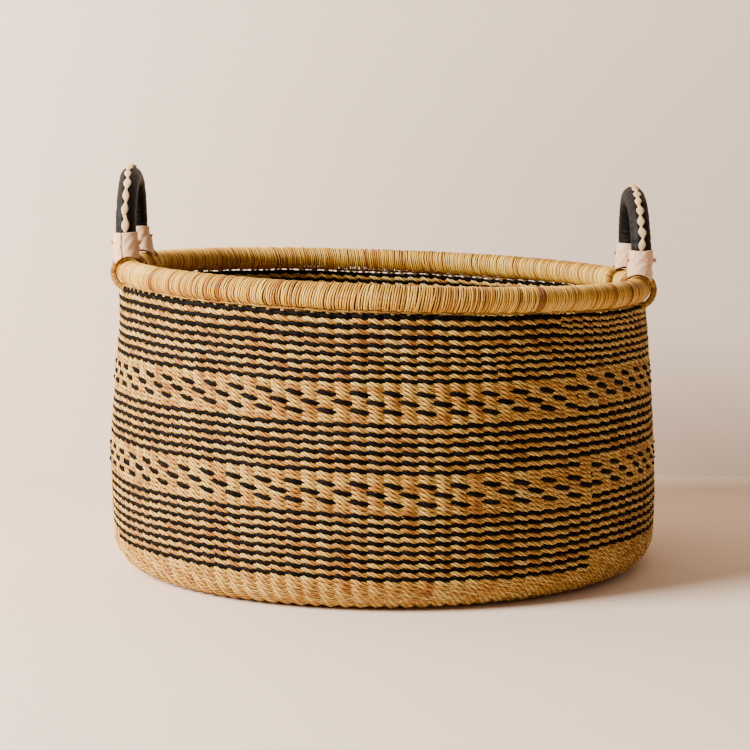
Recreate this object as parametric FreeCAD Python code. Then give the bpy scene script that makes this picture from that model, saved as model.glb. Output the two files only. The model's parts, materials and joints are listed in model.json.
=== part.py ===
import FreeCAD, Part
import math
import os

from FreeCAD import Vector

# Woven grass storage basket with two leather-covered handles. Millimetres, +Z up.
# The origin is the middle of the base's underside. The handles stand at -X (left) and +X (right),
# and front is -Y. The base is level, and the rim leans a little, higher on the left.

# Base and wall: a flat base, a round corner, and a wall that bows out to a belly
BASE_RADIUS = 246.0
CORNER_RADIUS = 34.0
BELLY_RADIUS = 281.0
BELLY_HEIGHT = 85.0
WALL = 7.0
CENTRE_PAD_RADIUS = 14.0

# The wall's bow is the circle that is tangent to the corner and reaches the belly radius at its height
OVERHANG = BELLY_RADIUS - BASE_RADIUS
BELLY_RISE = BELLY_HEIGHT - CORNER_RADIUS
OUTSET = OVERHANG - CORNER_RADIUS
BOW_OFFSET = (BELLY_RISE**2 - OUTSET**2) / (2 * OUTSET)
BOW_RADIUS = BOW_OFFSET + OVERHANG
BOW_CENTRE = BELLY_RADIUS - BOW_RADIUS
TANGENT_ANGLE = math.atan2(-BELLY_RISE, BOW_OFFSET)

# Rim: a grass core inside a wrapped tube. A surface that leans is at z = height - lean * x
RIM_HEIGHT = 292.3
RIM_RADIUS = 261.5
RIM_CORE_RADIUS = 9.0
RIM_TUBE_RADIUS = 12.5
RIM_LEAN = 0.0355
ROW_LEAN = 0.013

# Woven bands, from the base up: node, height of the upper edge on the Z axis, and that edge's lean
BANDS = [
    ("foot_band", 34.7, ROW_LEAN),
    ("lower_stripe_band", 97.0, ROW_LEAN),
    ("lower_diamond_band", 134.9, ROW_LEAN),
    ("middle_stripe_band", 181.3, ROW_LEAN),
    ("upper_diamond_band", 218.2, ROW_LEAN),
    ("upper_stripe_band", 276.8, RIM_LEAN),
]
HEADER_BOTTOM = 278.6

# Stakes: flat bundles that run out along the base and up inside the wall. More join as the base widens
STAKE_COUNT = 112
STAKE_WIDTH = 3.0
STAKE_THICKNESS = 2.4
STAKE_TOP_GAP = 0.2
STAKE_GROUPS = [
    # node, first stake, step, radius where the stakes start
    ("first_stakes", 0, 4, CENTRE_PAD_RADIUS),
    ("second_stakes", 2, 4, 60.0),
    ("third_stakes", 1, 2, 120.0),
]
STAKE_PITCH = 360.0 / STAKE_COUNT

# Handles: an arch on two legs. Each leg hangs on a loop that goes round the rim, under it, between two stakes
LEG_ANGLE = 4 * STAKE_PITCH
HALF_SPAN = RIM_RADIUS * math.sin(math.radians(LEG_ANGLE))
HINGE_X = RIM_RADIUS * math.cos(math.radians(LEG_ANGLE))
HANDLE_CORE_RADIUS = 8.5
SLEEVE_RADIUS = 10.5
CUFF_RADIUS = 12.5
LEG_OFFSET = 3.8           # the legs stand over the outer half of the rim
LEG_FOOT = 9.0             # heights above the hinge axis
ARCH_FOOT = 35.0
CUFF_TOP = 40.0
SADDLE_RADIUS = 16.0       # hollow under each leg that clears the rim as the handle swings
LACE_WIDTH = 7.0
LACE_HEIGHT = 1.6
LACE_ROOT = 0.8
TIE_HEIGHT = 30.0          # above the hinge axis
TIE_RADIUS = 1.0
KNOT_RADIUS = 2.2
KNOT_OUT = 1.2             # from the cuff's face to the middle of the knot
LOOP_RADIUS = 16.9
LOOP_CORD_RADIUS = 3.5
LOOP_CLEARANCE = 0.4

FAR = 400.0                # beyond every face of the basket
X_AXIS = Vector(1, 0, 0)
Y_AXIS = Vector(0, 1, 0)
Z_AXIS = Vector(0, 0, 1)
ORIGIN = Vector(0, 0, 0)


def rz(radius, height):
    """A point on the meridian plane at +X."""
    return Vector(radius, 0, height)


def corner_point(depth, angle):
    """A point on the corner, depth under its outer face, at an angle from straight out."""
    radius = CORNER_RADIUS - depth
    return rz(BASE_RADIUS + radius * math.cos(angle), CORNER_RADIUS + radius * math.sin(angle))


def wall_radius(depth, height):
    """The wall's radius at a height, depth under its outer face."""
    return BOW_CENTRE + math.sqrt((BOW_RADIUS - depth) ** 2 - (height - BELLY_HEIGHT) ** 2)


def outline(depth, top):
    """Edges of the corner and the wall up to a height, at a depth under the outer face."""
    foot = corner_point(depth, -math.pi / 2)
    turn = corner_point(depth, -math.pi / 4)
    tangent = corner_point(depth, TANGENT_ANGLE)
    middle = (tangent.z + top) / 2
    bow = Part.Arc(tangent, rz(wall_radius(depth, middle), middle), rz(wall_radius(depth, top), top))
    return [Part.Arc(foot, turn, tangent).toShape(), bow.toShape()]


def strip_face(outer_depth, inner_depth, start, top):
    """A strip of the meridian section, from a start radius on the base out and up to a height."""
    ends = [rz(start, outer_depth), corner_point(outer_depth, -math.pi / 2)]
    back = [corner_point(inner_depth, -math.pi / 2), rz(start, inner_depth)]
    edges = outline(outer_depth, top) + outline(inner_depth, top)
    edges.append(Part.makeLine(rz(wall_radius(outer_depth, top), top), rz(wall_radius(inner_depth, top), top)))
    edges.append(Part.makeLine(ends[0], back[1]))
    if start < BASE_RADIUS:
        edges.append(Part.makeLine(ends[0], ends[1]))
        edges.append(Part.makeLine(back[0], back[1]))
    return Part.Face(Part.Wire(Part.__sortEdges__(edges)))


def slab(low, low_lean, high, high_lean):
    """The space between two leaning planes."""
    corners = [
        Vector(-FAR, -FAR, low + low_lean * FAR),
        Vector(FAR, -FAR, low - low_lean * FAR),
        Vector(FAR, -FAR, high - high_lean * FAR),
        Vector(-FAR, -FAR, high + high_lean * FAR),
    ]
    return Part.Face(Part.makePolygon(corners + corners[:1])).extrude(Vector(0, 2 * FAR, 0))


def rim_torus(tube_radius):
    """A tube of this radius round the leaning rim."""
    return Part.makeTorus(RIM_RADIUS, tube_radius, Vector(0, 0, RIM_HEIGHT), Vector(RIM_LEAN, 0, 1))


def stake(index, start):
    """One stake, ending just under the rim's tube."""
    angle = (index + 0.5) * STAKE_PITCH
    depth = (WALL - STAKE_THICKNESS) / 2
    lean_rise = RIM_LEAN * wall_radius(WALL / 2, RIM_HEIGHT) * math.cos(math.radians(angle))
    top = RIM_HEIGHT - RIM_TUBE_RADIUS - STAKE_TOP_GAP - lean_rise
    face = strip_face(depth, depth + STAKE_THICKNESS, start, top)
    face.translate(Vector(0, -STAKE_WIDTH / 2, 0))
    solid = face.extrude(Vector(0, STAKE_WIDTH, 0))
    solid.rotate(ORIGIN, Z_AXIS, angle)
    return solid


def stake_groups():
    """The stakes of each group, as lists of solids."""
    groups = {}
    for node, first, step, start in STAKE_GROUPS:
        groups[node] = [stake(index, start) for index in range(first, STAKE_COUNT, step)]
    return groups


def loop_ring(side, end, extra=0.0):
    """The loop of one leg, round the handle's hinge axis. side is -1 left, 1 right; end is -1 front, 1 rear."""
    centre = hinge_point(side) + Vector(0, end * HALF_SPAN, 0)
    return Part.makeTorus(LOOP_RADIUS, LOOP_CORD_RADIUS + extra, centre, Y_AXIS)


def hinge_point(side):
    """The middle of a handle's hinge axis, which runs along Y through the rim where the legs stand."""
    return Vector(side * HINGE_X, 0, RIM_HEIGHT - RIM_LEAN * side * HINGE_X)


def basket_parts():
    """The base, the woven bands, the stakes inside them and the rim."""
    groups = stake_groups()
    stakes = [solid for solids in groups.values() for solid in solids]
    tunnels = [loop_ring(side, end, LOOP_CLEARANCE) for side in (-1, 1) for end in (-1, 1)]
    parts = {}

    disc = Part.makeCylinder(BASE_RADIUS, WALL)
    pad = Part.makeCylinder(CENTRE_PAD_RADIUS, WALL)
    parts["base_centre"] = pad
    parts["base_weave"] = disc.cut([pad] + stakes)

    shell = strip_face(0, WALL, BASE_RADIUS, RIM_HEIGHT + RIM_TUBE_RADIUS).revolve(ORIGIN, Z_AXIS, 360)
    low = -WALL
    low_lean = 0.0
    for node, high, lean in BANDS:
        band = shell.common(slab(low, low_lean, high, lean))
        parts[node] = band.cut(stakes)
        low = high
        low_lean = lean
    header = shell.common(slab(HEADER_BOTTOM, RIM_LEAN, RIM_HEIGHT, RIM_LEAN))
    header = header.cut(rim_torus(RIM_TUBE_RADIUS))
    parts["header_row"] = header.cut(stakes)
    for node in ("upper_stripe_band", "header_row"):
        parts[node] = parts[node].cut(tunnels)

    for node, solids in groups.items():
        parts[node] = Part.makeCompound(solids)
    parts["rim_core"] = rim_torus(RIM_CORE_RADIUS)
    parts["rim_wrap"] = rim_torus(RIM_TUBE_RADIUS).cut(rim_torus(RIM_CORE_RADIUS))
    return parts


def handle_point(side, y, height):
    """A point in the plane of a handle, at a height above its hinge axis."""
    return hinge_point(side) + Vector(side * LEG_OFFSET, y, height)


def leg(side, end, radius, top):
    """A round leg, from just above the rim up to a height."""
    return Part.makeCylinder(radius, top - LEG_FOOT, handle_point(side, end * HALF_SPAN, LEG_FOOT))


def arch_sweep(side, face, start=0.0):
    """A face at the foot of the arch on the front leg, swept over to the rear leg from a start angle."""
    centre = handle_point(side, 0, ARCH_FOOT)
    face.rotate(centre, -X_AXIS, start)
    return face.revolve(centre, -X_AXIS, 180 - 2 * start)


def arched_rod(side, radius):
    """The two legs and the arch between them, as one solid rod."""
    circle = Part.makeCircle(radius, handle_point(side, -HALF_SPAN, ARCH_FOOT), Z_AXIS)
    legs = [leg(side, end, radius, ARCH_FOOT) for end in (-1, 1)]
    rod = arch_sweep(side, Part.Face(Part.Wire(circle))).fuse(legs)
    return rod.removeSplitter()


def lace(side):
    """The white lace along the outer curve of the arch, from cuff to cuff, its underside following the sleeve."""
    near = HALF_SPAN + SLEEVE_RADIUS - LACE_ROOT
    far = HALF_SPAN + SLEEVE_RADIUS + LACE_HEIGHT
    start = math.degrees(math.asin((CUFF_TOP - ARCH_FOOT) / near))
    corners = [(-LACE_WIDTH / 2, -near), (LACE_WIDTH / 2, -near), (LACE_WIDTH / 2, -far), (-LACE_WIDTH / 2, -far)]
    points = [handle_point(side, y, ARCH_FOOT) + Vector(x, 0, 0) for x, y in corners]
    strip = arch_sweep(side, Part.Face(Part.makePolygon(points + points[:1])), start)
    return strip.cut(arched_rod(side, SLEEVE_RADIUS))


def tie(side, end):
    """A thong through the leg that pins the cuff, with a knot at each end."""
    middle = handle_point(side, end * HALF_SPAN, TIE_HEIGHT)
    reach = CUFF_RADIUS + KNOT_OUT
    rod = Part.makeCylinder(TIE_RADIUS, 2 * reach, middle - Vector(reach, 0, 0), X_AXIS)
    knots = [Part.makeSphere(KNOT_RADIUS, middle + Vector(x, 0, 0)) for x in (-reach, reach)]
    return rod.fuse(knots)


def handle_parts(side, name):
    """One handle: its core, sleeve and lace, and the cuff, tie and loop of each leg."""
    ends = {"front": -1, "rear": 1}
    saddle_foot = hinge_point(side) - Vector(0, 2 * HALF_SPAN, 0)
    saddle = Part.makeCylinder(SADDLE_RADIUS, 4 * HALF_SPAN, saddle_foot, Y_AXIS)
    ties = {word: tie(side, end) for word, end in ends.items()}
    loops = {word: loop_ring(side, end) for word, end in ends.items()}
    cutters = [saddle] + list(ties.values()) + list(loops.values())
    core = arched_rod(side, HANDLE_CORE_RADIUS)
    covered = arched_rod(side, SLEEVE_RADIUS)
    parts = {
        f"{name}_handle_core": core.cut(cutters),
        f"{name}_handle_sleeve": covered.cut([core] + cutters),
        f"{name}_handle_lace": lace(side),
    }
    for word, end in ends.items():
        cuff = leg(side, end, CUFF_RADIUS, CUFF_TOP).cut([covered] + cutters)
        parts[f"{name}_{word}_cuff"] = cuff
        parts[f"{name}_{word}_tie"] = ties[word]
        parts[f"{name}_{word}_loop"] = loops[word]
    return parts


def main():
    parts = basket_parts()
    for side, name in ((-1, "left"), (1, "right")):
        parts.update(handle_parts(side, name))
    os.makedirs("parts", exist_ok=True)
    for node, shape in parts.items():
        shape.exportStep(f"parts/{node}.step")
        volume = shape.Volume / 1000
        print(f"{node}: {len(shape.Solids)} solids, valid {shape.isValid()}, {volume:.1f} cm3")


main()
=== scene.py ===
import json
import math

import bpy
import numpy as np
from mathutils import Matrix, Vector


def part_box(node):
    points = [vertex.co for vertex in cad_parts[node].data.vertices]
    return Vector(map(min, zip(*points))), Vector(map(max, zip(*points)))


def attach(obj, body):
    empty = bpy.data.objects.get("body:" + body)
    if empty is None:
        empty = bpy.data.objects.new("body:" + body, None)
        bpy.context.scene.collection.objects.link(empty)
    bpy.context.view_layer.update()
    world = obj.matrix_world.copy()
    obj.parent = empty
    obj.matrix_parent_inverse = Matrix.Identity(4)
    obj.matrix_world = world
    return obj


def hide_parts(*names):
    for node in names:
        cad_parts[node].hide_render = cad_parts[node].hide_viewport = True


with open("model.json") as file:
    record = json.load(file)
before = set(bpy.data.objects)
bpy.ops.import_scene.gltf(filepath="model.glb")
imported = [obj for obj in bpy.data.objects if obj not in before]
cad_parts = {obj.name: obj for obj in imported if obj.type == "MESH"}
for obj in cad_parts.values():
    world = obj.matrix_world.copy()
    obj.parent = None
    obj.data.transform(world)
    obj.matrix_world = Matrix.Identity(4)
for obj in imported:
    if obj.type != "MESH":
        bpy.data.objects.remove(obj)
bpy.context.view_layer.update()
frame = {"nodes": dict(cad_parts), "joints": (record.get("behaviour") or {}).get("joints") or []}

# ---------------------------------------------------------------------------
# Measures of the basket, in metres, from the frame
# ---------------------------------------------------------------------------

TAU = 2 * math.pi
HINGES = {joint["child"]: np.array(joint["pos_m"]) for joint in frame["joints"]}
LEFT, RIGHT = "left_handle", "right_handle"


def half_size(node):
    """Half of a CAD node's extent along each axis."""
    low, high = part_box(node)
    return (np.array(high) - np.array(low)) / 2


def middle(node):
    """The middle of a CAD node's box."""
    low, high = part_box(node)
    return (np.array(high) + np.array(low)) / 2


# Base and wall. The weave's outline runs along the middle of its thickness
BASE_RADIUS = half_size("base_weave")[0]
WALL = 2 * half_size("base_weave")[2]
PAD_RADIUS = half_size("base_centre")[0]
BELLY_RADIUS = half_size("lower_stripe_band")[0]
CORNER_RADIUS = 0.034
BELLY_HEIGHT = 0.085
OUTSET = BELLY_RADIUS - BASE_RADIUS - CORNER_RADIUS
BELLY_RISE = BELLY_HEIGHT - CORNER_RADIUS
BOW_OFFSET = (BELLY_RISE**2 - OUTSET**2) / (2 * OUTSET)
BOW_RADIUS = BOW_OFFSET + BELLY_RADIUS - BASE_RADIUS
BOW_CENTRE = BELLY_RADIUS - BOW_RADIUS
TANGENT_ANGLE = math.atan2(-BELLY_RISE, BOW_OFFSET)
CORNER_LINE = CORNER_RADIUS - WALL / 2
BOW_LINE = BOW_RADIUS - WALL / 2
CORNER_LENGTH = CORNER_LINE * (TANGENT_ANGLE + math.pi / 2)

# Handles and rim. The rim leans: its middle is at z = RIM_HEIGHT - RIM_LEAN * x
HALF_SPAN = middle("left_rear_loop")[1]
HINGE_X = HINGES[RIGHT][0]
RIM_RADIUS = math.hypot(HINGE_X, HALF_SPAN)
RIM_HEIGHT = (HINGES[LEFT][2] + HINGES[RIGHT][2]) / 2
RIM_LEAN = (HINGES[LEFT][2] - HINGES[RIGHT][2]) / (2 * HINGE_X)
RIM_TUBE = half_size("rim_wrap")[1] - RIM_RADIUS
LOOP_CORD = half_size("left_rear_loop")[1]
LOOP_RADIUS = half_size("left_rear_loop")[0] - LOOP_CORD
SADDLE_RADIUS = 0.016

# Heights of a handle's parts over its hinge axis, and how far outside that axis its legs stand
SLEEVE_RADIUS = half_size("right_handle_sleeve")[0]
CUFF_RADIUS = half_size("right_rear_cuff")[0]
LEG_OFFSET = middle("right_handle_sleeve")[0] - HINGE_X
LEG_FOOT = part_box("right_rear_cuff")[0][2] - HINGES[RIGHT][2]
TIE_HEIGHT = middle("right_rear_tie")[2] - HINGES[RIGHT][2]
CUFF_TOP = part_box("right_rear_cuff")[1][2] - HINGES[RIGHT][2]
ARCH_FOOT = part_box("right_handle_sleeve")[1][2] - HINGES[RIGHT][2] - HALF_SPAN - SLEEVE_RADIUS

# Weave
STAKES = 112
SEAM = -13 * TAU / STAKES      # where each turn of the weaving starts, on the right of the front
SEAM_DRIFT = 3                 # stitches that the seam moves to the left on its way up the wall
CLIMB = 2                      # rows that each turn climbs: two rows are woven side by side
BLACK_STOP = math.radians(-162)  # where the lowest black row ends

# Rows of each band from the base up: N natural, K black, A and B natural with every other stitch black
STRIPES_15 = "KNKNKNKNKNKNKNK"
STRIPES_11 = "KNKNKNKNKNK"
DIAMONDS = "NNANBNANN"
WALL_BANDS = [
    ("foot_band", "N" * 12),
    ("lower_stripe_band", STRIPES_15),
    ("lower_diamond_band", DIAMONDS),
    ("middle_stripe_band", STRIPES_11),
    ("upper_diamond_band", DIAMONDS),
    ("upper_stripe_band", STRIPES_15),
]
BASE_ZONES = [
    # outer radius, stakes
    (0.060, STAKES // 4),
    (0.120, STAKES // 2),
    (BASE_RADIUS, STAKES),
]
BASE_ROW = 0.0042

random = np.random.default_rng(7)


# ---------------------------------------------------------------------------
# Shape of the weave
# ---------------------------------------------------------------------------

def outline(length):
    """Radius, height and outward normal at a length along the outline from the middle of the base."""
    length = np.asarray(length, float)
    corner = (length - BASE_RADIUS) / CORNER_LINE - math.pi / 2
    bow = TANGENT_ANGLE + (length - BASE_RADIUS - CORNER_LENGTH) / BOW_LINE
    on_base = length < BASE_RADIUS
    on_corner = ~on_base & (length < BASE_RADIUS + CORNER_LENGTH)
    angle = np.where(on_base, -math.pi / 2, np.where(on_corner, corner, bow))
    centre_r = np.where(on_base, length, np.where(on_corner, BASE_RADIUS, BOW_CENTRE))
    centre_z = np.where(on_corner | on_base, CORNER_RADIUS, BELLY_HEIGHT)
    reach = np.where(on_base | on_corner, CORNER_LINE, BOW_LINE)
    radius = centre_r + reach * np.cos(angle)
    return radius, centre_z + reach * np.sin(angle), np.cos(angle), np.sin(angle)


def length_at(height):
    """Length along the outline to a height on the wall."""
    angle = math.asin((height - BELLY_HEIGHT) / BOW_LINE)
    return BASE_RADIUS + CORNER_LENGTH + (angle - TANGENT_ANGLE) * BOW_LINE


WALL_LENGTH = length_at(RIM_HEIGHT - RIM_TUBE)


def wander(phi, length):
    """Slow unevenness of hand weaving: how far the surface stands out, and how far the rows stray up."""
    out = 0.0010 * np.sin(3 * phi + 9 * length + 1.0) + 0.0006 * np.sin(8 * phi - 31 * length)
    out += 0.0003 * np.sin(23 * phi + 70 * length)
    up = 0.0006 * np.sin(4 * phi + 11 * length) + 0.0004 * np.sin(11 * phi - 17 * length + 2.0)
    up += 0.0002 * np.sin(29 * phi + 45 * length)
    return out, up


FLARE = 0.0045                 # how far the wall's top leans out at the left
FLARE_REACH = 0.024            # and how far down that fades
SWELL_FADE = 0.04              # length above the base's corner over which the unevenness comes in


def on_surface(phi, length, out):
    """Points at an azimuth and outline length, some way out of the middle of the weave, with their axes."""
    radius, height, normal_r, normal_z = outline(length)
    swell, _ = wander(phi, length)
    fade = np.clip((length - BASE_RADIUS - CORNER_LENGTH) / SWELL_FADE, 0, 1)
    flare = FLARE * np.clip(-np.cos(phi), 0, 1) * np.exp(-(((length - WALL_LENGTH) / FLARE_REACH) ** 2))
    offset = out + swell * fade + flare
    cos, sin = np.cos(phi), np.sin(phi)
    points = np.stack([
        (radius + offset * normal_r) * cos,
        (radius + offset * normal_r) * sin,
        height + offset * normal_z,
    ], -1)
    normal = np.stack([normal_r * cos, normal_r * sin, normal_z + 0 * cos], -1)
    upward = np.stack([-normal_z * cos, -normal_z * sin, normal_r + 0 * cos], -1)
    return points, normal, upward


def band_edges():
    """Height and lean of the lower edge of each wall band above the foot, and of the top edge."""
    names = [name for name, _ in WALL_BANDS]
    edges = []
    for lower, upper in zip(names, names[1:]):
        high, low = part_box(lower)[1][2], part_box(upper)[0][2]
        height = (high + low) / 2
        edges.append((height, (high - low) / (2 * outline(length_at(height))[0])))
    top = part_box(names[-1])[1][2]
    edges.append((top - RIM_LEAN * outline(length_at(top))[0], RIM_LEAN))
    return edges


class Row:
    """One turn of weaving: its kind, its stake count, where its lower and upper edges lie, and its climb."""

    def __init__(self, kind, stakes, low, high, low_lean, high_lean, climb):
        self.kind = kind
        self.stakes = stakes
        self.low = low
        self.high = high
        self.low_lean = low_lean
        self.high_lean = high_lean
        self.climb = climb
        self.start = 0.0
        self.stop = 1.0

    def length(self, phi):
        """Outline length of the row's middle, which climbs as it goes round from the seam."""
        turn = 0.5 + ((SEAM - phi) / TAU - 0.5) * self.climb
        lean = self.low_lean + (self.high_lean - self.low_lean) * turn
        centre = self.low + (self.high - self.low) * turn
        radius = outline(centre)[0]
        return centre - lean * radius * np.cos(phi)


def stacked_rows(kinds, stakes, low, high, low_lean, high_lean, climbs):
    """Rows that share the space between two lengths. A black row between natural ones is thinner."""
    striped = "K" in kinds
    weights = np.array([0.97 if kind == "K" else 1.03 if striped else 1.0 for kind in kinds])
    edges = np.concatenate([[0], np.cumsum(weights)]) / weights.sum()
    lengths = low + (high - low) * edges
    leans = low_lean + (high_lean - low_lean) * edges
    rows = []
    for index, kind in enumerate(kinds):
        span = lengths[index], lengths[index + 1], leans[index], leans[index + 1]
        rows.append(Row(kind, stakes, *span, climbs[index]))
    return rows


def base_rows():
    """Rows of the base, from the middle out."""
    rows = []
    low = PAD_RADIUS
    for high, stakes in BASE_ZONES:
        count = round((high - low) / BASE_ROW)
        rows += stacked_rows("N" * count, stakes, low, high, 0, 0, np.full(count, CLIMB))
        low = high
    return rows


def wall_rows():
    """Rows of each wall band, by the band's name. The last rows under the rim level out."""
    bands = {}
    low, low_lean = BASE_RADIUS, 0.0
    for (name, kinds), (height, lean) in zip(WALL_BANDS, band_edges()):
        high = length_at(height)
        climbs = np.full(len(kinds), float(CLIMB))
        if name == WALL_BANDS[-1][0]:
            climbs[-5:] = CLIMB * np.linspace(0.85, 0.05, 5)
        bands[name] = stacked_rows(kinds, STAKES, low, high, low_lean, lean, climbs)
        low, low_lean = high, lean
    stack = [row for name, _ in WALL_BANDS for row in bands[name]]
    for index, row in enumerate(stack):
        row.start = round(SEAM_DRIFT * index / len(stack)) / STAKES
        row.stop = 1 + round(SEAM_DRIFT * (index + CLIMB) / len(stack)) / STAKES
    return bands


# ---------------------------------------------------------------------------
# Meshes
# ---------------------------------------------------------------------------

class Bundle:
    """Tubes that together make one piece, with the attributes that its material reads."""

    def __init__(self):
        self.vertices = []
        self.corners = []
        self.sizes = []
        self.fibre = []
        self.tint = []
        self.count = 0

    def add(self, vertices, faces, fibre, tint):
        """Adds a mesh. faces is a list of arrays, each with one face in a row."""
        self.vertices.append(vertices.reshape(-1, 3))
        self.corners += [(block + self.count).ravel() for block in faces]
        self.sizes += [np.full(len(block), block.shape[1]) for block in faces]
        self.fibre.append(fibre.reshape(-1, 3))
        self.tint.append(tint.reshape(-1))
        self.count += len(self.vertices[-1])

    def tube(self, path, side, up, half_side, half_up, sides=8, closed=False, tint=0.5,
             lobes=0, depth=0.0, turn=0.0):
        """A tube whose section has half widths along side and up. Its lobes turn along it, as plies do."""
        steps = len(path)
        around = np.arange(sides) * TAU / sides
        swell = 1 + depth * np.cos(lobes * around) if lobes else np.ones(sides)
        angle = around + np.broadcast_to(turn, steps)[:, None]
        across = np.broadcast_to(half_side, steps)[:, None] * swell * np.cos(angle)
        along_up = np.broadcast_to(half_up, steps)[:, None] * swell * np.sin(angle)
        vertices = path[:, None] + across[..., None] * side[:, None] + along_up[..., None] * up[:, None]
        travel = np.concatenate([[0], np.cumsum(np.linalg.norm(np.diff(path, axis=0), axis=1))])
        fibre = np.stack(np.broadcast_arrays(travel[:, None], np.cos(around), np.sin(around)), -1)
        tints = np.broadcast_to(np.broadcast_to(tint, steps)[:, None], (steps, sides))
        self.add(vertices, tube_faces(steps, sides, closed), fibre, tints)

    def piece(self, name, body, slot, material, nodes=()):
        """Makes the piece, gives it its material and fixes it to its body."""
        corners = np.concatenate(self.corners)
        sizes = np.concatenate(self.sizes)
        mesh = bpy.data.meshes.new(name)
        mesh.vertices.add(self.count)
        mesh.vertices.foreach_set("co", np.concatenate(self.vertices).ravel())
        mesh.loops.add(len(corners))
        mesh.loops.foreach_set("vertex_index", corners)
        mesh.polygons.add(len(sizes))
        mesh.polygons.foreach_set("loop_start", np.cumsum(sizes) - sizes)
        mesh.polygons.foreach_set("use_smooth", np.ones(len(sizes), bool))
        fibre = mesh.attributes.new("fibre", "FLOAT_VECTOR", "POINT")
        fibre.data.foreach_set("vector", np.concatenate(self.fibre).ravel())
        tint = mesh.attributes.new("tint", "FLOAT", "POINT")
        tint.data.foreach_set("value", np.concatenate(self.tint))
        mesh.update(calc_edges=True)
        mesh.materials.append(material)
        obj = bpy.data.objects.new(name, mesh)
        bpy.context.scene.collection.objects.link(obj)
        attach(obj, body)
        if nodes:
            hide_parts(*nodes)
        return obj


def tube_faces(steps, sides, closed):
    """Faces of a tube, with its ends joined to each other or capped."""
    ring = np.arange(sides)
    turned = np.roll(ring, -1)
    start = np.arange(steps if closed else steps - 1)[:, None] * sides
    after = (start + sides) % (steps * sides)
    skin = np.stack([start + ring, after + ring, after + turned, start + turned], -1).reshape(-1, 4)
    if closed:
        return [skin]
    return [skin, np.array([ring, ring[::-1] + (steps - 1) * sides])]


def smooth_noise(positions, count, spread):
    """A random value for each of count places round a ring, blended at these positions."""
    values = random.uniform(-spread, spread, count)
    return np.interp(positions, np.arange(count + 1), np.append(values, values[0]), period=count)


# Strands: half thickness out of and along the weave, and how far they swing about the row's middle and
# stand out of it
STRANDS = {
    "natural": {"out": 0.00150, "up": 0.00206, "swing_out": 0.0020, "swing_up": 0.00110, "lift": 0.0},
    "black": {"out": 0.00142, "up": 0.00215, "swing_out": 0.0018, "swing_up": 0.00075, "lift": 0.0},
    "figure": {"out": 0.00150, "up": 0.00210, "swing_out": 0.0020, "swing_up": 0.00110, "lift": 0.0009},
    "base": {"out": 0.00120, "up": 0.00172, "swing_out": 0.0016, "swing_up": 0.00090, "lift": 0.0},
    "header": {"out": 0.00120, "up": 0.00105, "swing_out": 0.0016, "swing_up": 0.00040, "lift": 0.0},
}
# Sides of a strand's mesh, and its steps in one stitch
STRAND_SIDES = {"natural": 9, "black": 9, "figure": 9, "base": 6, "header": 6}
STRAND_STEPS = {"natural": 8, "black": 6, "figure": 8, "base": 6, "header": 6}
PLY_TURN = TAU / 0.021         # turn of a strand's plies for each metre along it
PLY_DEPTH = 0.17
PIECE_TRIANGLES = 195000


def add_strand(bundle, row, strand, look, start, stop):
    """One of a row's two strands, from start to stop of its turn. They cross between stakes."""
    style = STRANDS[look]
    steps = round(row.stakes * STRAND_STEPS[look] * (stop - start)) + 1
    phi = SEAM - TAU * np.linspace(start, stop, steps)
    stitch = phi * row.stakes / TAU - 0.5
    swing = math.pi * (stitch + strand)
    length = row.length(phi)
    settle = np.clip(np.minimum(np.arange(steps), np.arange(steps)[::-1]) / STRAND_STEPS[look], 0, 1)
    size = 1 + settle * smooth_noise(stitch, row.stakes, 0.09)
    stray = settle * smooth_noise(stitch + 0.3, row.stakes, 0.00026)
    puff = settle * smooth_noise(stitch, row.stakes, 0.00022)
    out = style["lift"] + style["swing_out"] * np.cos(swing) + puff
    up = -style["swing_up"] * np.sin(swing) + stray + wander(phi, length)[1]
    path, normal, upward = on_surface(phi, length + up, out)
    full = (0.90 + 0.10 * np.cos(swing) ** 2) * size
    travel = phi * outline(row.low)[0]
    tint = 0.5 + settle * smooth_noise(stitch, row.stakes, 0.35) + random.uniform(-0.10, 0.10)
    bundle.tube(
        path, normal, upward, style["out"] * full, style["up"] * full,
        sides=STRAND_SIDES[look], tint=tint, lobes=3, depth=PLY_DEPTH, turn=-PLY_TURN * travel,
    )


def weave(name, node, colour, strands, paint):
    """Makes strands of one colour, in as many pieces as keep each mesh small enough."""
    look = strands[0][2]
    share = PIECE_TRIANGLES // (2 * STAKES * STRAND_SIDES[look] * STRAND_STEPS[look])
    pieces = math.ceil(len(strands) / share)
    for index, group in enumerate(np.array_split(np.arange(len(strands)), pieces)):
        bundle = Bundle()
        for place in group:
            add_strand(bundle, *strands[place])
        suffix = f"_{index + 1}" if pieces > 1 else ""
        bundle.piece(name + suffix, "basket", f"{colour}_straw", paint[colour], [node])


def both_strands(rows, look):
    """Both strands of each row, in one look."""
    return [(row, strand, look, row.start, row.stop) for row in rows for strand in (0, 1)]


# Which strand of a figured row has which colour
FIGURE_STRANDS = {"A": {"black": 0, "natural": 1}, "B": {"black": 1, "natural": 0}}


# ---------------------------------------------------------------------------
# Materials
# ---------------------------------------------------------------------------

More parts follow.
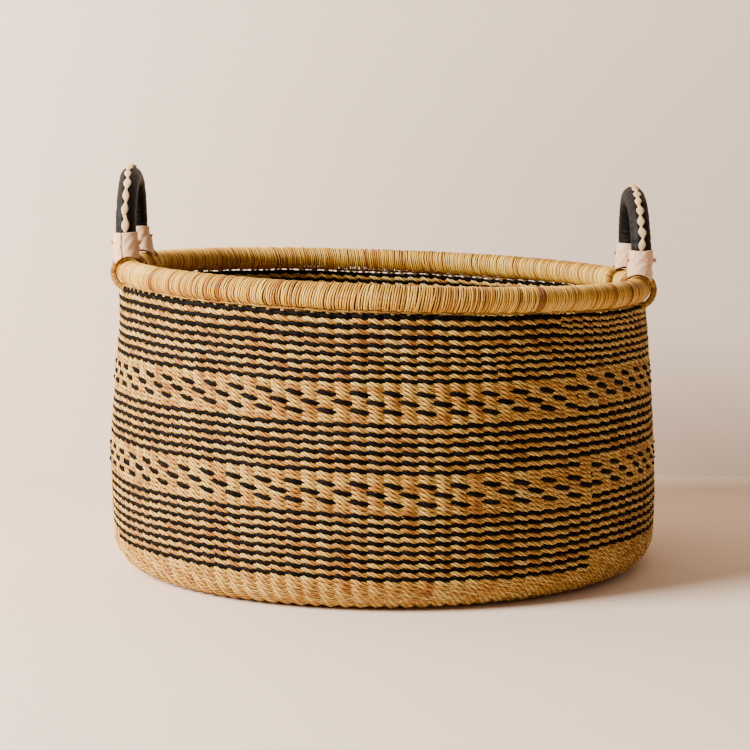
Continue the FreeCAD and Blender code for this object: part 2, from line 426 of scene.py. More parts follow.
class Shader:
    """A material with a Principled shader, and short calls for the nodes it uses."""

    def __init__(self, name, roughness=0.6, specular=0.4, sheen=0.0):
        self.material = bpy.data.materials.new(name)
        self.material.use_nodes = True
        self.tree = self.material.node_tree
        self.surface = self.tree.nodes["Principled BSDF"]
        self.surface.inputs["Roughness"].default_value = roughness
        self.surface.inputs["Specular IOR Level"].default_value = specular
        self.surface.inputs["Sheen Weight"].default_value = sheen

    def node(self, kind, **values):
        made = self.tree.nodes.new(kind)
        for key, value in values.items():
            setattr(made, key, value)
        return made

    def link(self, value, socket):
        """Feeds a socket from another socket or a plain value."""
        if isinstance(value, bpy.types.NodeSocket):
            self.tree.links.new(value, socket)
        else:
            socket.default_value = value

    def attribute(self, name, output="Vector"):
        return self.node("ShaderNodeAttribute", attribute_name=name).outputs[output]

    def place(self):
        return self.node("ShaderNodeTexCoord").outputs["Object"]

    def stretched(self, vector, scale):
        made = self.node("ShaderNodeMapping")
        self.link(vector, made.inputs["Vector"])
        made.inputs["Scale"].default_value = scale
        return made.outputs["Vector"]

    def noise(self, vector, scale, detail=2.0):
        made = self.node("ShaderNodeTexNoise")
        self.link(vector, made.inputs["Vector"])
        made.inputs["Scale"].default_value = scale
        made.inputs["Detail"].default_value = detail
        return made.outputs["Fac"]

    def math(self, operation, *values):
        made = self.node("ShaderNodeMath", operation=operation)
        for value, socket in zip(values, made.inputs):
            self.link(value, socket)
        return made.outputs[0]

    def ramp(self, factor, stops):
        """stops is [(place, colour)]."""
        made = self.node("ShaderNodeValToRGB")
        elements = made.color_ramp.elements
        for place, colour in stops[2:]:
            elements.new(place)
        for element, (place, colour) in zip(elements, stops):
            element.position = place
            element.color = (*colour, 1)
        self.link(factor, made.inputs["Fac"])
        return made.outputs["Color"]

    def mix(self, factor, first, second, blend="MIX"):
        made = self.node("ShaderNodeMix", data_type="RGBA", blend_type=blend)
        self.link(factor, made.inputs["Factor"])
        for value, socket in ((first, made.inputs[6]), (second, made.inputs[7])):
            self.link((*value, 1) if isinstance(value, tuple) else value, socket)
        return made.outputs[2]

    def bump(self, height, strength, distance):
        made = self.node("ShaderNodeBump")
        made.inputs["Strength"].default_value = strength
        made.inputs["Distance"].default_value = distance
        self.link(height, made.inputs["Height"])
        self.link(made.outputs["Normal"], self.surface.inputs["Normal"])

    def colour(self, value):
        self.link(value, self.surface.inputs["Base Color"])

    def roughness(self, low, high, factor):
        self.link(self.math("MULTIPLY_ADD", factor, high - low, low), self.surface.inputs["Roughness"])


def fibre_lines(shader, along, across, detail=3.0):
    """Fine streaks that run along a strand and turn with its plies."""
    return shader.noise(shader.stretched(shader.attribute("fibre"), (along, across, across)), 1.0, detail)


def ply_ridges(shader, plies):
    """1 on the ridge of each ply of a strand and 0 in the creases between them."""
    parts = shader.node("ShaderNodeSeparateXYZ")
    shader.link(shader.attribute("fibre"), parts.inputs[0])
    turn = shader.math("ARCTAN2", parts.outputs["Z"], parts.outputs["Y"])
    wave = shader.math("COSINE", shader.math("MULTIPLY", turn, float(plies)))
    return shader.math("MULTIPLY_ADD", wave, 0.5, 0.5)


def straw(name, tones, roughness, streak=0.5, crease_shade=0.0, plies=3, specular=0.3, streak_and_shade_colour=(0.16, 0.06, 0.015)):
    """Twisted grass: a tone for each stitch, straws of several tones, fine fibres, and painted shade in the
    creases between plies and at the sides of single-ply strands.
    """
    shader = Shader(name, specular=specular)
    lines = fibre_lines(shader, 38.0, 2.6)
    fine = fibre_lines(shader, 160.0, 9.0)
    tint = shader.attribute("tint", "Fac")
    tone = shader.math("ADD", tint, shader.math("MULTIPLY", shader.math("SUBTRACT", lines, 0.5), 1.7))
    base = shader.ramp(tone, tones)
    streaks = shader.ramp(fine, [(0.34, streak_and_shade_colour), (0.58, (1.0, 1.0, 1.0))])
    colour = shader.mix(streak, base, streaks, "MULTIPLY")
    height = shader.math("ADD", lines, fine)
    # Painted shade: the ridge mask darkens the creases between plies, and on single-ply strands such as the
    # rim's wraps it darkens the sides where one wrap meets the next.
    if crease_shade:
        ridges = ply_ridges(shader, plies)
        low, high = (0.10, 0.70) if plies > 1 else (0.64, 0.95)
        shade = [(low, streak_and_shade_colour), (high, (1.0, 1.0, 1.0))]
        colour = shader.mix(crease_shade, colour, shader.ramp(ridges, shade), "MULTIPLY")
        height = shader.math("ADD", height, ridges)
    shader.colour(colour)
    shader.roughness(*roughness, lines)
    shader.bump(height, 0.5, 0.0006)
    return shader.material


def leather(name, colour, worn, wear, roughness, grain=900.0, specular=0.4):
    """Leather: pebbled grain, soft mottling and paler worn patches."""
    shader = Shader(name, specular=specular)
    place = shader.place()
    mottle = shader.noise(place, 55.0, 4.0)
    pebbles = shader.noise(place, grain, 2.0)
    patches = shader.ramp(shader.noise(place, 160.0, 5.0), [(0.50, (0, 0, 0)), (0.72, (wear,) * 3)])
    deep = tuple(c * 0.78 for c in colour)
    shader.colour(shader.mix(patches, shader.mix(mottle, deep, colour), worn))
    shader.roughness(*roughness, pebbles)
    shader.bump(shader.math("ADD", pebbles, mottle), 0.25, 0.0005)
    return shader.material


STRAW_TONES = [
    (0.05, (0.40, 0.150, 0.024)),
    (0.28, (0.67, 0.325, 0.052)),
    (0.52, (0.84, 0.505, 0.092)),
    (0.76, (0.93, 0.645, 0.150)),
    (0.98, (0.97, 0.760, 0.250)),
]
RIM_TONES = [
    (0.05, (0.22, 0.065, 0.010)),
    (0.28, (0.52, 0.220, 0.022)),
    (0.50, (0.80, 0.420, 0.045)),
    (0.75, (0.94, 0.590, 0.085)),
    (0.98, (0.98, 0.720, 0.170)),
]
BLACK_TONES = [
    (0.10, (0.0010, 0.0007, 0.0008)),
    (0.50, (0.0030, 0.0020, 0.0022)),
    (0.90, (0.0120, 0.0080, 0.0080)),
]
LOOP_TONES = [(place, tuple(0.7 * c for c in colour)) for place, colour in RIM_TONES]
# The natural straw's tones at half strength: painted shade for straw that sits in shadow, meaning the stakes
# inside the wall, the rim's core and the handles' grass cores.
SHADED_STAKE_TONES = [(place, tuple(0.5 * c for c in colour)) for place, colour in STRAW_TONES]


def materials():
    """Every material of the basket, by a short word."""
    return {
        # The crease values set how strongly painted shade darkens the creases of the strands and the gaps
        # between the wraps of the rim and loops.
        "natural": straw("natural_straw", STRAW_TONES, (0.40, 0.65), crease_shade=0.9),
        "black": straw("black_straw", BLACK_TONES, (0.50, 0.75), streak=0.3, crease_shade=0.4, specular=0.06),
        "rim": straw("rim_straw", RIM_TONES, (0.36, 0.60), streak=0.4, crease_shade=0.85, plies=1),
        "stake": straw("stake_straw", SHADED_STAKE_TONES, (0.55, 0.80)),
        "loop": straw("loop_straw", LOOP_TONES, (0.4, 0.65), streak=0.4, crease_shade=0.85, plies=1),
        "black_leather": leather(
            "black_leather", (0.0030, 0.0026, 0.0032), (0.030, 0.025, 0.024), 0.25, (0.50, 0.70),
            specular=0.16,
        ),
        "lace": leather("white_leather", (0.72, 0.47, 0.24), (0.84, 0.63, 0.40), 0.5, (0.60, 0.80), 700.0),
        "cuff": leather("natural_leather", (0.80, 0.51, 0.31), (0.88, 0.64, 0.45), 0.6, (0.60, 0.80), 800.0),
        "thong": leather("tie_thong", (0.62, 0.34, 0.17), (0.78, 0.50, 0.30), 0.5, (0.5, 0.7), 900.0),
    }


# ---------------------------------------------------------------------------
# Basket
# ---------------------------------------------------------------------------

def make_base(paint):
    """The woven base: a pad of crossed stakes and the rows round it."""
    make_centre(paint)
    weave("base_rows", "base_weave", "natural", both_strands(base_rows(), "base"), paint)


def make_centre(paint):
    """The first stakes crossing in the middle of the base, in two layers."""
    bundle = Bundle()
    reach = PAD_RADIUS + BASE_ROW
    step = 0.0034
    half = 0.0015
    lines = np.arange(-3, 4) * step
    for layer, angle in ((-1, 0.35), (1, 0.35 + math.pi / 2)):
        ahead = np.array([math.cos(angle), math.sin(angle), 0])
        aside = np.array([-math.sin(angle), math.cos(angle), 0])
        for offset in lines:
            span = math.sqrt(max(reach**2 - offset**2, 0))
            along = np.linspace(-span, span, 13)
            height = WALL / 2 + layer * half * np.cos(along / step * math.pi / 2) * 0.6 + layer * half * 0.5
            path = along[:, None] * ahead + offset * aside + height[:, None] * np.array([0, 0, 1])
            side = np.broadcast_to(aside, path.shape)
            up = np.broadcast_to(np.array([0, 0, 1.0]), path.shape)
            bundle.tube(path, side, up, 0.0017, half, sides=8, tint=random.uniform(0.3, 0.8),
                        lobes=3, depth=0.1, turn=along * PLY_TURN)
    bundle.piece("base_centre_cross", "basket", "natural_straw", paint["natural"], ["base_centre"])


def make_foot(rows, paint):
    """The natural rows that turn up from the base. The lowest ones, which meet the floor, are thinner."""
    weave("foot_rows_lowest", "foot_band", "natural", both_strands(rows[:3], "base"), paint)
    weave("foot_rows", "foot_band", "natural", both_strands(rows[3:], "natural"), paint)


def make_striped_band(name, rows, paint):
    """Black and natural rows in turn. The lowest black row stops short and goes on in natural."""
    black = both_strands([row for row in rows if row.kind == "K"], "black")
    natural = both_strands([row for row in rows if row.kind == "N"], "natural")
    if name == "lower_stripe_band":
        row = rows[0]
        change = (SEAM - BLACK_STOP) / TAU
        black[:2] = [(row, strand, "black", row.start, change) for strand in (0, 1)]
        natural += [(row, strand, "natural", change, row.stop) for strand in (0, 1)]
    weave(f"{name}_black_rows", name, "black", black, paint)
    weave(f"{name}_natural_rows", name, "natural", natural, paint)


def make_diamond_band(name, rows, paint):
    """Natural rows, and rows that twine a black strand with a natural one to show black diamonds."""
    plain = [row for row in rows if row.kind == "N"]
    weave(f"{name}_ground", name, "natural", both_strands(plain, "natural"), paint)
    for colour, look in (("black", "figure"), ("natural", "natural")):
        strands = []
        for row in rows:
            if row.kind in "AB":
                strand = FIGURE_STRANDS[row.kind][colour]
                strands.append((row, strand, look, row.start, row.stop))
        weave(f"{name}_{colour}_diamonds", name, colour, strands, paint)


def make_header(paint):
    """The thin natural row tucked under the rim, above the open gaps."""
    centre = RIM_HEIGHT - RIM_TUBE - 0.0004
    length = length_at(centre)
    row = Row("N", STAKES, length, length, RIM_LEAN, RIM_LEAN, 0.0)
    weave("header_row_strands", "header_row", "natural", both_strands([row], "header"), paint)


STAKE_STEPS = 60
STAKE_DEPTH = 0.0010           # half thickness, and half widths at the top and in the wall
STAKE_TOP_WIDTH = 0.0019
STAKE_WIDTH = 0.0026


def make_stakes(paint):
    """Round bundles that run out along the base and up inside the wall to the rim."""
    groups = [("first_stakes", 0, 4, PAD_RADIUS), ("second_stakes", 2, 4, BASE_ZONES[0][0]),
              ("third_stakes", 1, 2, BASE_ZONES[1][0])]
    for node, first, step, start in groups:
        bundle = Bundle()
        for index in range(first, STAKES, step):
            phi = (index + 0.5) * TAU / STAKES
            top = RIM_HEIGHT - RIM_LEAN * RIM_RADIUS * math.cos(phi) - RIM_TUBE + 0.001
            length = np.linspace(start - 0.004, length_at(top), STAKE_STEPS)
            path, normal, _ = on_surface(np.full(STAKE_STEPS, phi), length, np.zeros(STAKE_STEPS))
            aside = np.broadcast_to(np.array([-math.sin(phi), math.cos(phi), 0]), path.shape)
            wide = np.clip((length_at(top) - length) / 0.012, 0, 1)
            width = STAKE_TOP_WIDTH + (STAKE_WIDTH - STAKE_TOP_WIDTH) * wide
            bundle.tube(path, normal, aside, STAKE_DEPTH, width, sides=6, tint=random.uniform(0.2, 0.8))
        # Their straw is the natural straw darkened to half: painted shade for the shadow inside the wall and
        # under the rim.
        bundle.piece(f"{node}_bundles", "basket", "stake_straw", paint["stake"], [node])


def rim_frame(phi):
    """Middle of the rim's tube, its outward and upward axes at an azimuth, and the way round."""
    tilt = math.atan(RIM_LEAN)
    cos, sin = np.cos(phi), np.sin(phi)
    across = np.array([math.cos(tilt), 0, -math.sin(tilt)])
    upward = np.array([math.sin(tilt), 0, math.cos(tilt)])
    outward = cos[..., None] * across + sin[..., None] * np.array([0, 1.0, 0])
    ahead = -sin[..., None] * across + cos[..., None] * np.array([0, 1.0, 0])
    centre = RIM_RADIUS * outward + np.array([0, 0, RIM_HEIGHT])
    return centre, outward, np.broadcast_to(upward, outward.shape), ahead


RIM_WRAPS = 712
WRAP_STEPS = 26
WRAP_DEPTH = 0.00105           # half thickness out of the rim, and half width along it
WRAP_WIDTH = 0.00104
WRAP_INSET = 0.0009            # how far a wrap's middle lies inside the rim's surface


def make_rim(paint):
    """Straw wound round the rim. Some lengths of straw are browner than others."""
    tone = rim_tones()
    halves = {"front": Bundle(), "rear": Bundle()}
    around = np.arange(WRAP_STEPS) * TAU / WRAP_STEPS
    slant = 0.0022 + smooth_noise(np.arange(RIM_WRAPS) / 9, RIM_WRAPS // 9, 0.0006)
    for index in range(RIM_WRAPS):
        phi = TAU * (index + random.uniform(-0.07, 0.07)) / RIM_WRAPS
        shift = (slant[index] + random.normal(0, 0.00030)) * np.sin(around - 0.4)
        shift += random.normal(0, 0.00024) * np.sin(2 * around + random.uniform(0, TAU))
        centre, outward, upward, ahead = rim_frame(phi + shift / RIM_RADIUS)
        radial = np.cos(around)[:, None] * outward + np.sin(around)[:, None] * upward
        lift = random.uniform(-0.00060, 0.00010)
        path = centre + radial * (RIM_TUBE - WRAP_INSET + lift)
        width = WRAP_WIDTH * random.uniform(0.80, 1.12)
        bundle = halves["rear" if math.sin(phi) > 0 else "front"]
        bundle.tube(path, radial, ahead, WRAP_DEPTH, width, sides=8, closed=True, tint=tone[index])
    for word, bundle in halves.items():
        bundle.piece(f"rim_wrap_{word}", "basket", "rim_straw", paint["rim"], ["rim_wrap"])


def rim_tones():
    """A tone for each wrap: it drifts slowly, jumps from straw to straw, and has short brown lengths."""
    places = np.arange(RIM_WRAPS)
    drift = 0.06 * np.sin(places * TAU / 97) + 0.05 * np.sin(places * TAU / 41 + 2)
    tone = 0.60 + drift + random.normal(0, 0.17, RIM_WRAPS)
    for start in random.integers(0, RIM_WRAPS, 34):
        tone[start:start + random.integers(1, 4)] -= random.uniform(0.15, 0.45)
    return np.clip(tone, 0.02, 0.98)


LOOSE_ENDS = 150
ROWS_ON_FLOOR = 5              # the lowest rows, which have no loose ends


def make_fibre_ends(bands, paint):
    """Short loose ends of straw that stand out of the wall."""
    bundle = Bundle()
    rows = [row for band in bands.values() for row in band][ROWS_ON_FLOOR:]
    for _ in range(LOOSE_ENDS):
        row = rows[random.integers(len(rows))]
        phi = SEAM - TAU * random.uniform(0.01, 0.99)
        where = np.full(4, phi) + np.linspace(0, 1, 4) * random.uniform(-0.009, 0.009)
        length = row.length(where) + np.linspace(0, 1, 4) ** 2 * random.uniform(-0.002, 0.003)
        out = 0.0030 + np.linspace(0, 1, 4) * random.uniform(0.0005, 0.0026)
        path, normal, upward = on_surface(where, length, out)
        width = random.uniform(0.00014, 0.00030) * np.array([1.0, 1.0, 0.8, 0.3])
        bundle.tube(path, normal, upward, width, width, sides=4, tint=random.uniform(0.6, 1.0))
    bundle.piece("loose_straw_ends", "basket", "natural_straw", paint["natural"])


def make_basket(paint):
    make_base(paint)
    bands = wall_rows()
    make_foot(bands["foot_band"], paint)
    for name, kinds in WALL_BANDS[1:]:
        if "K" in kinds:
            make_striped_band(name, bands[name], paint)
        else:
            make_diamond_band(name, bands[name], paint)
    make_header(paint)
    make_stakes(paint)
    make_rim(paint)
    make_fibre_ends(bands, paint)
    # The rim's core shows only through the gaps between wraps. It takes the darkened stake straw, which is
    # painted shade.
    frame["nodes"]["rim_core"].data.materials.clear()
    frame["nodes"]["rim_core"].data.materials.append(paint["stake"])


# ---------------------------------------------------------------------------
# Handles
# ---------------------------------------------------------------------------

LEG_START = 0.024              # the sleeve's lower end, inside the cuff
RISES = {LEFT: 1.02, RIGHT: 0.98}      # the two arches aren't quite alike
LEAVES = {LEFT: 13, RIGHT: 16}


def outward_side(body):
    """+1 or -1 along X, away from the basket."""
    return math.copysign(1, HINGES[body][0])


def arch(body, turn, reach):
    """Points round the arch of a handle, at angles from its front foot and at a distance from its centre."""
    side = outward_side(body)
    rise = reach * np.sin(turn) * RISES[body]
    settle = 0.0025 * np.sin(turn) ** 2 * (body == RIGHT)
    x = side * (LEG_OFFSET - settle) + 0 * turn
    points = np.stack([x, -reach * np.cos(turn), ARCH_FOOT + rise], -1)
    outward = np.stack([0 * turn, -np.cos(turn), np.sin(turn)], -1)
    return points + HINGES[body], outward


def leg_and_arch(body):
    """The whole path of a handle from foot to foot, with its outward axis."""
    points, outward = arch(body, np.linspace(0, math.pi, 130), HALF_SPAN)
    drop = np.linspace(LEG_START - ARCH_FOOT, 0, 7)[:-1, None] * np.array([0, 0, 1.0])
    path = np.concatenate([points[0] + drop, points, (points[-1] + drop)[::-1]])
    return path, np.concatenate([np.repeat(outward[:1], 6, 0), outward, np.repeat(outward[-1:], 6, 0)])


def around_bump(angles, place, width):
    """A smooth bump round a circle."""
    return np.exp(-((np.angle(np.exp(1j * (angles - place))) / width) ** 2))


SLEEVE_SIDES = 48
SLEEVE_CREASES = 90


def make_sleeve(body, paint):
    """Black leather round the arch, drawn in along its lace, with creases across it."""
    path, outward = leg_and_arch(body)
    steps, sides = len(path), SLEEVE_SIDES
    around = np.arange(sides) * TAU / sides
    travel = np.concatenate([[0], np.cumsum(np.linalg.norm(np.diff(path, axis=0), axis=1))])[:, None]
    relief = -0.0007 * around_bump(around, 0, 0.20) + 0 * travel
    relief += 0.0002 * np.sin(travel * 90 + around) + 0.00015 * np.sin(travel * 41 - 2 * around)
    for _ in range(SLEEVE_CREASES):
        place = random.uniform(travel[8, 0], travel[-8, 0])
        line = travel - place - random.uniform(-0.006, 0.006) * np.sin(around)
        reach = around_bump(around, random.uniform(0, TAU), random.uniform(0.4, 1.0))
        relief -= random.uniform(0.0002, 0.0008) * reach * np.exp(-((line / 0.0013) ** 2))
    inner = np.clip(-np.cos(around), 0, 1)
    relief += 0.00025 * inner * np.sin(travel * TAU / 0.0062 + 2 * np.sin(3 * around))
    radius = SLEEVE_RADIUS - 0.0001 + relief
    vertices = path[:, None] + (radius * np.cos(around))[..., None] * outward[:, None]
    vertices = vertices + (radius * np.sin(around))[..., None] * np.array([1.0, 0, 0])
    fibre = np.zeros((steps, sides, 3))
    bundle = Bundle()
    bundle.add(vertices, tube_faces(steps, sides, False), fibre, np.full((steps, sides), 0.5))
    bundle.piece(f"{body}_leather", body, "black_leather", paint["black_leather"], [f"{body}_sleeve"])


def make_lace(body, paint):
    """The lace along the outer curve: a chain of folded, leaf-shaped stitches."""
    bundle = Bundle()
    reach = HALF_SPAN + SLEEVE_RADIUS
    start = math.asin((CUFF_TOP - ARCH_FOOT) / reach)
    span = (math.pi - 2 * start) / LEAVES[body]
    share = np.linspace(0, 1, 17)
    for index in range(LEAVES[body]):
        belly = np.sin(math.pi * share ** random.uniform(0.80, 1.0)) ** 1.9
        turn = start + span * (index + np.linspace(-0.08, 1.08, 17))
        turn = np.clip(turn, start, math.pi - start)
        height = 0.0004 * share + 0.0006 * belly + random.uniform(-0.0001, 0.0002)
        path, outward = arch(body, turn, reach + height)
        sway = random.uniform(-0.0006, 0.0006) + random.uniform(-0.0022, 0.0022) * (share - 0.5)
        path[:, 0] += sway
        aside = np.broadcast_to(np.array([1.0, 0, 0]), path.shape)
        half_width = 0.0008 + 0.0031 * belly * random.uniform(0.85, 1.08)
        thickness = 0.0005 + 0.0008 * belly
        bundle.tube(path, outward, aside, thickness, half_width, sides=12, tint=random.uniform(0, 1))
    bundle.piece(f"{body}_lace_chain", body, "white_leather", paint["lace"], [f"{body}_lace"])


def make_core(body, paint):
    """The bundle of grass inside a handle, bound tightly. It shows only from below, under the cuffs."""
    bundle = Bundle()
    turn = np.linspace(0, math.pi, 60)
    points, outward = arch(body, turn, HALF_SPAN)
    drop = np.linspace(SADDLE_RADIUS + 0.001 - ARCH_FOOT, 0, 12)[:-1, None] * np.array([0, 0, 1.0])
    path = np.concatenate([points[0] + drop, points, (points[-1] + drop)[::-1]])
    outward = np.concatenate([np.repeat(outward[:1], 11, 0), outward, np.repeat(outward[-1:], 11, 0)])
    aside = np.broadcast_to(np.array([1.0, 0, 0]), path.shape)
    travel = np.linspace(0, 3, len(path))
    bundle.tube(path, outward, aside, 0.0078, 0.0078, sides=36, lobes=12, depth=0.05, turn=travel, tint=0.3)
    # The grass core takes the darkened stake straw: painted shade for the shadow under the cuffs.
    bundle.piece(f"{body}_grass_core", body, "stake_straw", paint["stake"], [f"{body}_core"])


CUFF_SIDES, CUFF_ROWS = 64, 22


def make_cuff(body, name, end, paint):
    """Natural leather wrapped once round a leg's foot, over the rim. Its overlap is an upright edge."""
    side = outward_side(body)
    seam = random.uniform(0.2, 0.7) * side - math.pi / 2
    around = np.linspace(0, TAU, CUFF_SIDES + 1)
    x, y = np.cos(around + seam), np.sin(around + seam)
    outer = CUFF_RADIUS - 0.0011 + 0.0011 * around / TAU
    inner = np.full_like(outer, SLEEVE_RADIUS + 0.0002)
    slump = 0.006 if name == "left_rear" else 0.0016
    top = CUFF_TOP + 0.0005 * np.sin(2 * around + random.uniform(0, TAU))
    phase = random.uniform(0, TAU, 4)

    def ring(radius, share):
        """A ring of the cuff. It spreads and slumps towards the basket near the rim."""
        spread = (1 - share) ** 2
        across = side * (LEG_OFFSET - slump * spread) + (radius + 0.0009 * spread) * x
        foot = np.sqrt(np.maximum((SADDLE_RADIUS + 0.0003) ** 2 - across**2, LEG_FOOT**2))
        height = foot + (top - foot) * share
        return np.stack([across, (radius + 0.0009 * spread) * y, height], -1)

    grid = []
    for share in np.linspace(0, 1, CUFF_ROWS):
        puff = 0.0005 * math.sin(math.pi * share)
        wrinkle = 0.0005 * np.sin(3 * around + 9 * share + phase[0]) * math.sin(math.pi * share)
        wrinkle += 0.0003 * np.sin(8 * around - 14 * share + phase[1]) * math.sin(math.pi * share)
        line = share - 0.45 - 0.12 * np.sin(around + phase[2])
        fold = -0.0013 * np.exp(-((line / 0.05) ** 2)) * np.clip(np.sin(around + phase[3]), 0, 1)
        grid.append(ring(outer + puff + wrinkle + fold, share))
    lip = 0.0004
    grid.append(ring(outer - lip, 1.0) + np.array([0, 0, lip]))
    grid += [ring(inner, share) for share in (1.0, 0.5, 0.0)]
    vertices = np.array(grid) + HINGES[body] + np.array([0, end * HALF_SPAN, 0])
    shape = vertices.shape[:2]
    bundle = Bundle()
    bundle.add(vertices, [sheet_faces(*shape)], np.zeros((*shape, 3)), np.full(shape, 0.5))
    bundle.piece(f"{name}_cuff_leather", body, "natural_leather", paint["cuff"], [f"{name}_cuff"])


def sheet_faces(steps, width):
    """Faces of a wrapped shell: a grid whose last row joins its first, with its two side edges closed."""
    start = np.arange(steps)[:, None] * width
    after = (start + width) % (steps * width)
    column = np.arange(width - 1)
    skin = np.stack([start + column, start + column + 1, after + column + 1, after + column], -1)
    skin = skin.reshape(-1, 4)
    edges = []
    for k in range(steps // 2 - 1):
        near = np.array([k, k + 1, steps - 2 - k, steps - 1 - k]) * width
        edges.append(near)
        edges.append(near[::-1] + width - 1)
    return np.concatenate([skin, np.array(edges)])


def make_tie(body, name, end, paint):
    """A thong through the leg, with a small knot and two short ends on each side of the cuff."""
    bundle = Bundle()
    place = HINGES[body] + np.array([outward_side(body) * LEG_OFFSET, end * HALF_SPAN, TIE_HEIGHT])
    for side in (-1, 1):
        knot = np.linspace(0, TAU, 40, endpoint=False)
        size = 0.0006
        x = side * (CUFF_RADIUS + 0.0011) + size * np.sin(3 * knot)
        y = size * (np.sin(knot) + 2 * np.sin(2 * knot))
        z = size * (np.cos(knot) - 2 * np.cos(2 * knot))
        path = np.stack([x, y, z], -1) + place
        ahead = np.roll(path, -1, 0) - np.roll(path, 1, 0)
        ahead /= np.linalg.norm(ahead, axis=1)[:, None]
        first = np.cross(ahead, np.array([1.0, 0.2, 0.1]))
        first /= np.linalg.norm(first, axis=1)[:, None]
        bundle.tube(path, first, np.cross(ahead, first), 0.0007, 0.0007, sides=8, closed=True)
        for turn in (random.uniform(0.3, 0.9), random.uniform(2.2, 2.9)):
            share = np.linspace(0, 1, 7)
            reach = random.uniform(0.0028, 0.0048)
            out = side * (CUFF_RADIUS + 0.0012 + 0.0014 * np.sin(share * 2.2))
            tail = np.stack([out, reach * share * math.cos(turn), reach * share * math.sin(turn)], -1) + place
            along = np.array([0, math.cos(turn), math.sin(turn)])
            aside = np.broadcast_to(np.cross(along, [1.0, 0, 0]), tail.shape)
            outward = np.broadcast_to(np.array([1.0, 0, 0]), tail.shape)
            bundle.tube(tail, outward, aside, 0.0004, 0.0007 * (1 - 0.4 * share), sides=6)
    bundle.piece(f"{name}_tie_knots", body, "tie_thong", paint["thong"], [f"{name}_tie"])


LOOP_WRAPS = 60


def make_loop(body, name, end, paint):
    """The cord round the rim, with straw wound tightly round it."""
    bundle = Bundle()
    place = HINGES[body] + np.array([0, end * HALF_SPAN, 0])
    ahead = np.array([0, 1.0, 0])
    around = np.arange(14) * TAU / 14
    for index in range(LOOP_WRAPS):
        where = TAU * index / LOOP_WRAPS + 0.02 * np.sin(around) + random.uniform(-0.005, 0.005)
        radial = np.stack([np.cos(where), 0 * where, np.sin(where)], -1)
        tangent = np.stack([-np.sin(where), 0 * where, np.cos(where)], -1)
        outward = np.cos(around)[:, None] * radial + np.sin(around)[:, None] * ahead
        lift = random.uniform(-0.0001, 0.00015)
        path = radial * LOOP_RADIUS + outward * (LOOP_CORD - 0.00055 + lift) + place
        tint = np.clip(random.normal(0.5, 0.15), 0, 1)
        bundle.tube(path, outward, tangent, 0.0005, 0.00090, sides=6, closed=True, tint=tint)
    turn = np.arange(72) * TAU / 72
    radial = np.stack([np.cos(turn), 0 * turn, np.sin(turn)], -1)
    core = radial * LOOP_RADIUS + place
    thick = LOOP_CORD - 0.001
    along = np.broadcast_to(ahead, core.shape)
    bundle.tube(core, radial, along, thick, thick, sides=10, closed=True, tint=0.2)
    bundle.piece(f"{name}_loop_cord", body, "loop_straw", paint["loop"], [f"{name}_loop"])


def make_handle(body, side, paint):
    """One handle with its two legs."""
    make_core(body, paint)
    make_sleeve(body, paint)
    make_lace(body, paint)
    for word, end in (("front", -1), ("rear", 1)):
        name = f"{side}_{word}"
        make_cuff(body, name, end, paint)
        make_tie(body, name, end, paint)
        make_loop(body, name, end, paint)


# ---------------------------------------------------------------------------
# Stage, light and camera
# ---------------------------------------------------------------------------

BACKDROP_Y = 0.51


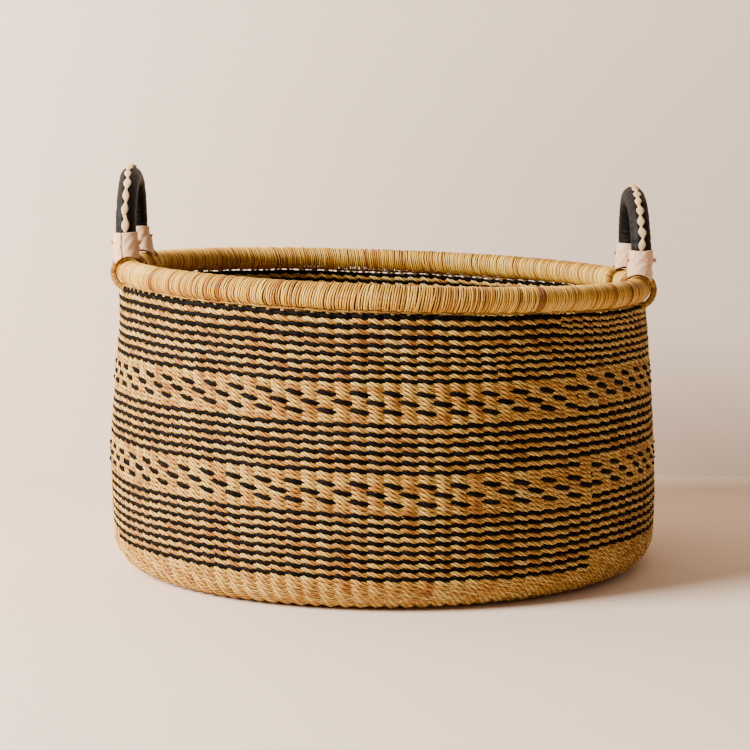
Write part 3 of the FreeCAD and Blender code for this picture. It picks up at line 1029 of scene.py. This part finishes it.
def plain_material(name, colour, see_through_back=False):
    """A matt pale paint. A backdrop can let everything through from behind."""
    shader = Shader(name, roughness=0.9, specular=0.1)
    place = shader.place()
    cloud = shader.noise(place, 1.2, 2.0)
    pale = tuple(min(1.0, c * 1.03) for c in colour)
    shader.colour(shader.mix(cloud, colour, pale))
    if see_through_back:
        tree = shader.tree
        back = shader.node("ShaderNodeNewGeometry").outputs["Backfacing"]
        clear = shader.node("ShaderNodeBsdfTransparent").outputs["BSDF"]
        blend = shader.node("ShaderNodeMixShader")
        tree.links.new(back, blend.inputs[0])
        tree.links.new(shader.surface.outputs["BSDF"], blend.inputs[1])
        tree.links.new(clear, blend.inputs[2])
        tree.links.new(blend.outputs[0], tree.nodes["Material Output"].inputs["Surface"])
    return shader.material


def flat_stage(name, corners, material):
    mesh = bpy.data.meshes.new(name)
    mesh.from_pydata(corners, [], [(0, 1, 2, 3)])
    mesh.materials.append(material)
    obj = bpy.data.objects.new(name, mesh)
    bpy.context.scene.collection.objects.link(obj)


def make_stage():
    far = 8.0
    floor = plain_material("floor_paint", (0.80, 0.645, 0.52))
    flat_stage("floor", [(-far, -far, 0), (far, -far, 0), (far, far, 0), (-far, far, 0)], floor)
    wall = plain_material("backdrop_paint", (0.80, 0.67, 0.56), see_through_back=True)
    corners = [(-far, BACKDROP_Y, 0), (far, BACKDROP_Y, 0), (far, BACKDROP_Y, 5), (-far, BACKDROP_Y, 5)]
    flat_stage("backdrop", corners, wall)


def area_light(name, place, target, size, power, colour):
    data = bpy.data.lights.new(name, "AREA")
    data.shape = "DISK"
    data.size = size
    data.energy = power
    data.color = colour
    obj = bpy.data.objects.new(name, data)
    obj.location = place
    aim = Vector(target) - Vector(place)
    obj.rotation_mode = "QUATERNION"
    obj.rotation_quaternion = aim.to_track_quat("-Z", "Y")
    bpy.context.scene.collection.objects.link(obj)


def make_light():
    area_light("key", (-2.38, -1.20, 1.68), (0, 0, 0.15), 1.5, 335.0, (1.0, 0.96, 0.90))
    world = bpy.data.worlds.new("room")
    bpy.context.scene.world = world
    world.use_nodes = True
    sky = world.node_tree.nodes["Background"]
    sky.inputs["Color"].default_value = (1.0, 0.80, 0.62, 1)
    sky.inputs["Strength"].default_value = 0.30


def make_camera():
    data = bpy.data.cameras.new("camera")
    data.lens = 107.2
    data.sensor_width = 36.0
    camera = bpy.data.objects.new("camera", data)
    camera.location = (-0.0088, -2.301, 0.4653)
    camera.rotation_euler = (math.pi / 2 - 0.119, 0, 0)
    bpy.context.scene.collection.objects.link(camera)
    bpy.context.scene.camera = camera


make_camera()
make_light()
make_stage()
paint = materials()
make_basket(paint)
make_handle(LEFT, "left", paint)
make_handle(RIGHT, "right", paint)
